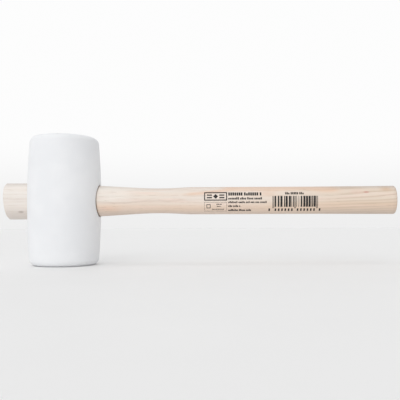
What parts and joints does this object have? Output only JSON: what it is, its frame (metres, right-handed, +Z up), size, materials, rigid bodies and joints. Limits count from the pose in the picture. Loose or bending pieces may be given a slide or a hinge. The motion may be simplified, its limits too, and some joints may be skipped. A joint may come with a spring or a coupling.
{
  "type": "rubber mallet",
  "caption": "Mallet with a barrel-shaped white rubber head, flat striking faces at both ends and an oval tapered wooden handle through it, for tapping paving and kerbs into place.",
  "frame": {"origin": "centre of the lower striking face, which the mallet stands on", "axes": "+Z up along the head's axis to the upper striking face; +X along the handle from the head to the butt; +Y completes the right-handed frame"},
  "size_m": [0.3546, 0.065, 0.116],
  "materials": {
    "white_rubber": "matt, smooth moulded",
    "ash_wood": "sanded, thinly lacquered, grain along the handle",
    "black_ink": "thin matt ink printed on the grip"
  },
  "bodies": {
    "root": {"rubber_head": "white_rubber", "ash_handle": "ash_wood"}
  },
  "joints": []
}
